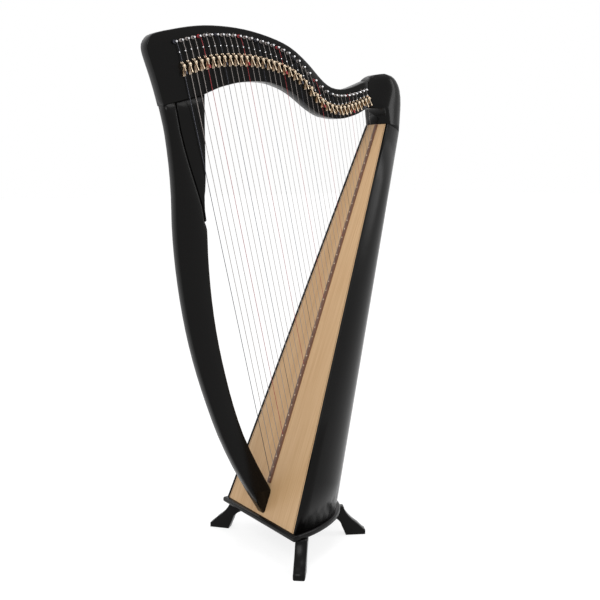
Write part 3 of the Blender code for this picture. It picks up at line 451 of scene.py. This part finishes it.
def make_neck_board(finish):
    """The neck without its pins and brackets, whose places are closed flat."""
    mesh, shaped = merged_copy("neck", "neck_board")
    proud = [v for v in shaped.verts if abs(v.co.y) > NECK_SIDE + 0.0001]
    bmesh.ops.delete(shaped, geom=proud, context="VERTS")
    rims = [e for e in shaped.edges if len(e.link_faces) == 1]
    bmesh.ops.holes_fill(shaped, edges=rims, sides=0)
    bmesh.ops.triangulate(shaped, faces=shaped.faces)
    bmesh.ops.recalc_face_normals(shaped, faces=shaped.faces)
    shaped.to_mesh(mesh)
    shaped.free()
    board = dress(bpy.data.objects.new("neck_board", mesh), finish, sharp=38)
    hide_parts("neck")


# Materials


def new_group(name, inputs, outputs):
    group = bpy.data.node_groups.new(name, "ShaderNodeTree")
    for label, kind, value in inputs:
        socket = group.interface.new_socket(label, in_out="INPUT", socket_type=kind)
        socket.default_value = value
    for label, kind in outputs:
        group.interface.new_socket(label, in_out="OUTPUT", socket_type=kind)
    return group, group.nodes.new("NodeGroupInput"), group.nodes.new("NodeGroupOutput")


def node(tree, kind, links=(), **settings):
    made = tree.nodes.new(kind)
    for key, value in settings.items():
        if hasattr(made, key) and key not in made.inputs:
            setattr(made, key, value)
        else:
            made.inputs[key].default_value = value
    for target, source in links:
        tree.links.new(source, made.inputs[target])
    return made


def grain_group():
    """Long grain along z: stretched noise for the year rings and a broader stretched noise that varies them."""
    group, given, out = new_group(
        "Grain", [("Vector", "NodeSocketVector", (0, 0, 0)), ("Pale", "NodeSocketColor", (0.6, 0.4, 0.2, 1)),
                  ("Deep", "NodeSocketColor", (0.4, 0.2, 0.1, 1)), ("Rings", "NodeSocketFloat", 120.0),
                  ("Gloss", "NodeSocketFloat", 0.4)],
        [("Color", "NodeSocketColor"), ("Roughness", "NodeSocketFloat"), ("Height", "NodeSocketFloat")])
    stretch = node(group, "ShaderNodeVectorMath", operation="MULTIPLY")
    stretch.inputs[1].default_value = (1, 1, 0.02)
    group.links.new(given.outputs["Vector"], stretch.inputs[0])
    rings = node(group, "ShaderNodeTexNoise", [("Vector", stretch.outputs[0]), ("Scale", given.outputs["Rings"])],
                 Detail=5.0, Roughness=0.62)
    broad = node(group, "ShaderNodeTexNoise", [("Vector", stretch.outputs[0])], Scale=14.0, Detail=2.0)
    mix_value = node(group, "ShaderNodeMath", [(0, rings.outputs["Fac"]), (1, broad.outputs["Fac"])], operation="ADD")
    span = node(group, "ShaderNodeMapRange", [("Value", mix_value.outputs[0])])
    span.inputs["From Min"].default_value = 0.78
    span.inputs["From Max"].default_value = 1.22
    colour = node(group, "ShaderNodeMix", data_type="RGBA")
    group.links.new(span.outputs[0], colour.inputs[0])
    group.links.new(given.outputs["Pale"], colour.inputs[6])
    group.links.new(given.outputs["Deep"], colour.inputs[7])
    rough = node(group, "ShaderNodeMath", [(0, rings.outputs["Fac"]), (2, given.outputs["Gloss"])], operation="MULTIPLY_ADD")
    rough.inputs[1].default_value = 0.12
    group.links.new(colour.outputs[2], out.inputs["Color"])
    group.links.new(rough.outputs[0], out.inputs["Roughness"])
    group.links.new(rings.outputs["Fac"], out.inputs["Height"])
    return group


def film_group():
    """A brushed film: faint cloudiness in the gloss and a trace of dust in the colour."""
    group, given, out = new_group(
        "Film", [("Vector", "NodeSocketVector", (0, 0, 0)), ("Tint", "NodeSocketColor", (0.01, 0.01, 0.011, 1)),
                 ("Dust", "NodeSocketColor", (0.03, 0.03, 0.03, 1)), ("Gloss", "NodeSocketFloat", 0.25),
                 ("Cloud", "NodeSocketFloat", 0.15), ("Size", "NodeSocketFloat", 9.0)],
        [("Color", "NodeSocketColor"), ("Roughness", "NodeSocketFloat"), ("Height", "NodeSocketFloat")])
    cloud = node(group, "ShaderNodeTexNoise", [("Vector", given.outputs["Vector"]), ("Scale", given.outputs["Size"])],
                 Detail=6.0, Roughness=0.6)
    speck = node(group, "ShaderNodeTexNoise", [("Vector", given.outputs["Vector"])], Scale=420.0, Detail=2.0)
    mask = node(group, "ShaderNodeMapRange", [("Value", speck.outputs["Fac"])])
    mask.inputs["From Min"].default_value = 0.60
    mask.inputs["From Max"].default_value = 0.78
    colour = node(group, "ShaderNodeMix", data_type="RGBA")
    group.links.new(mask.outputs[0], colour.inputs[0])
    group.links.new(given.outputs["Tint"], colour.inputs[6])
    group.links.new(given.outputs["Dust"], colour.inputs[7])
    rough = node(group, "ShaderNodeMath", [(0, cloud.outputs["Fac"]), (1, given.outputs["Cloud"]),
                                           (2, given.outputs["Gloss"])], operation="MULTIPLY_ADD")
    group.links.new(colour.outputs[2], out.inputs["Color"])
    group.links.new(rough.outputs[0], out.inputs["Roughness"])
    group.links.new(cloud.outputs["Fac"], out.inputs["Height"])
    return group


def finish_from(name, group, values, metallic=0.0, specular=0.5, bump=0.0, lean=0.0, coat=0.0):
    """A Principled material that takes its colour, roughness and bump from a group."""
    made = bpy.data.materials.new(name)
    made.use_nodes = True
    tree = made.node_tree
    shader = tree.nodes["Principled BSDF"]
    place = node(tree, "ShaderNodeTexCoord")
    turned = node(tree, "ShaderNodeMapping", [("Vector", place.outputs["Object"])])
    turned.inputs["Rotation"].default_value = (0, lean, 0)
    used = tree.nodes.new("ShaderNodeGroup")
    used.node_tree = group
    tree.links.new(turned.outputs["Vector"], used.inputs["Vector"])
    for label, value in values.items():
        used.inputs[label].default_value = value
    tree.links.new(used.outputs["Color"], shader.inputs["Base Color"])
    tree.links.new(used.outputs["Roughness"], shader.inputs["Roughness"])
    if bump:
        raised = node(tree, "ShaderNodeBump", [("Height", used.outputs["Height"])], Strength=bump, Distance=0.0004)
        tree.links.new(raised.outputs["Normal"], shader.inputs["Normal"])
    shader.inputs["Metallic"].default_value = metallic
    shader.inputs["Specular IOR Level"].default_value = specular
    shader.inputs["Coat Weight"].default_value = coat
    shader.inputs["Coat Roughness"].default_value = 0.12
    return made


def make_finishes():
    grain, film = grain_group(), film_group()
    rgb = lambda r, g, b: (r, g, b, 1)
    return dict(
        lacquer=finish_from("black lacquer", film, dict(Tint=rgb(0.0042, 0.0039, 0.0037), Dust=rgb(0.011, 0.011, 0.011),
                                                        Gloss=0.17, Cloud=0.14), specular=0.11, bump=0.04),
        spruce=finish_from("spruce soundboard", grain, dict(Pale=rgb(0.76, 0.50, 0.265), Deep=rgb(0.62, 0.365, 0.165),
                                                            Rings=230.0, Gloss=0.36), bump=0.10, lean=-BOARD_LEAN),
        walnut=finish_from("walnut rib", grain, dict(Pale=rgb(0.20, 0.085, 0.04), Deep=rgb(0.085, 0.03, 0.015),
                                                     Rings=420.0, Gloss=0.34), bump=0.15, lean=-BOARD_LEAN),
        purfling=finish_from("purfling", grain, dict(Pale=rgb(0.17, 0.08, 0.035), Deep=rgb(0.10, 0.04, 0.02),
                                                     Rings=300.0, Gloss=0.4), lean=-BOARD_LEAN),
        inner=finish_from("bare maple", grain, dict(Pale=rgb(0.58, 0.40, 0.23), Deep=rgb(0.44, 0.28, 0.14),
                                                    Rings=150.0, Gloss=0.6), bump=0.2),
        brass=finish_from("lever brass", film, dict(Tint=rgb(0.66, 0.54, 0.40), Dust=rgb(0.42, 0.30, 0.19), Gloss=0.20,
                                                    Cloud=0.18, Size=160.0), metallic=1.0, bump=0.1),
        steel=finish_from("nickel pins", film, dict(Tint=rgb(0.66, 0.66, 0.67), Dust=rgb(0.42, 0.41, 0.40), Gloss=0.16,
                                                    Cloud=0.18, Size=200.0), metallic=1.0, bump=0.1),
        plain=finish_from("plain strings", film, dict(Tint=rgb(0.36, 0.32, 0.30), Dust=rgb(0.24, 0.20, 0.18), Gloss=0.25,
                                                      Cloud=0.15, Size=60.0), coat=0.2),
        red=finish_from("red strings", film, dict(Tint=rgb(0.40, 0.022, 0.03), Dust=rgb(0.26, 0.015, 0.02), Gloss=0.25,
                                                  Cloud=0.15, Size=60.0), coat=0.2),
        dark=finish_from("dark strings", film, dict(Tint=rgb(0.022, 0.024, 0.04), Dust=rgb(0.04, 0.04, 0.06), Gloss=0.25,
                                                    Cloud=0.15, Size=60.0), coat=0.2),
    )


# Camera, floor and lights


def make_camera():
    camera = bpy.data.objects.new("camera", bpy.data.cameras.new("camera"))
    bpy.context.scene.collection.objects.link(camera)
    camera.location = CAMERA_PLACE
    camera.rotation_euler = (math.pi / 2 - CAMERA_PITCH, 0, -CAMERA_YAW)
    camera.data.lens = CAMERA_LENS
    bpy.context.scene.camera = camera


def seen_directly(tree):
    """1 for camera, glossy and transmission rays, which see the plain white background."""
    path = node(tree, "ShaderNodeLightPath")
    first = node(tree, "ShaderNodeMath", [(0, path.outputs["Is Camera Ray"]), (1, path.outputs["Is Glossy Ray"])],
                 operation="MAXIMUM")
    return node(tree, "ShaderNodeMath", [(0, first.outputs[0]), (1, path.outputs["Is Transmission Ray"])],
                operation="MAXIMUM").outputs[0]


def make_world():
    world = bpy.data.worlds.new("studio")
    world.use_nodes = True
    tree = world.node_tree
    back = tree.nodes["Background"]
    back.inputs["Color"].default_value = (1, 1, 1, 1)
    strength = node(tree, "ShaderNodeMapRange", [("Value", seen_directly(tree))])
    strength.inputs["To Min"].default_value = 0.62
    strength.inputs["To Max"].default_value = 1.0
    tree.links.new(strength.outputs[0], back.inputs["Strength"])
    bpy.context.scene.world = world


def make_floor():
    mesh = bpy.data.meshes.new("floor")
    mesh.from_pydata([(-30, -30, 0), (30, -30, 0), (30, 30, 0), (-30, 30, 0)], [], [(0, 1, 2, 3)])
    floor = bpy.data.objects.new("floor", mesh)
    bpy.context.scene.collection.objects.link(floor)
    made = bpy.data.materials.new("pale floor")
    made.use_nodes = True
    tree = made.node_tree
    shader = tree.nodes["Principled BSDF"]
    shader.inputs["Base Color"].default_value = (0.30, 0.30, 0.30, 1)
    shader.inputs["Roughness"].default_value = 0.9
    shader.inputs["Emission Color"].default_value = (1, 1, 1, 1)
    glow = node(tree, "ShaderNodeMath", [(0, seen_directly(tree))], operation="MULTIPLY")
    glow.inputs[1].default_value = 0.80
    tree.links.new(glow.outputs[0], shader.inputs["Emission Strength"])
    mesh.materials.append(made)


def make_lamp(name, place, aim, size, energy):
    light = bpy.data.lights.new(name, "AREA")
    light.shape = "RECTANGLE"
    light.size, light.size_y = size
    light.energy = energy
    lamp = bpy.data.objects.new(name, light)
    bpy.context.scene.collection.objects.link(lamp)
    lamp.location = place
    lamp.rotation_euler = (Vector(aim) - Vector(place)).to_track_quat("-Z", "Y").to_euler()


def main():
    make_camera()
    make_world()
    make_floor()
    make_lamp("key", (-2.2, -1.6, 2.9), (0, 0, 0.8), (1.4, 1.4), 34)
    make_lamp("side", (2.4, -1.4, 1.9), (0.1, 0, 0.7), (0.8, 2.0), 22)
    make_lamp("top", (0.2, -0.4, 3.2), (0.1, 0, 0.9), (1.6, 1.0), 16)

    finishes = make_finishes()
    make_lacquered(finishes["lacquer"])
    make_neck_board(finishes["lacquer"])
    for name in INNER_WOOD:
        frame["nodes"][name].data.materials.clear()
        frame["nodes"][name].data.materials.append(finishes["inner"])
    for name, look in (("soundboard", "spruce"), ("pillar_bolt", "steel")):
        frame["nodes"][name].data.materials.clear()
        frame["nodes"][name].data.materials.append(finishes[look])

    places = string_places()
    rib = piece("walnut_rib", rib_shape(), finishes["walnut"], sharp=50)
    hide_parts("string_rib")
    make_strings(places, finishes)
    eyelets = together([eyelet_shape(*pair) for pair in zip(places["foot"], places["radius"])])
    piece("eyelets", eyelets, finishes["brass"])
    piece("purfling", together([purfling_shape(-1), purfling_shape(1)]), finishes["purfling"])
    make_pins(places, finishes["steel"])
    brackets = together([shape for i in range(STRINGS) for shape in bracket_shapes(places, i)])
    piece("lever_brackets", brackets, finishes["brass"], sharp=30)
    make_levers(finishes["brass"], finishes)

    bpy.context.scene.view_settings.view_transform = "Standard"


main()
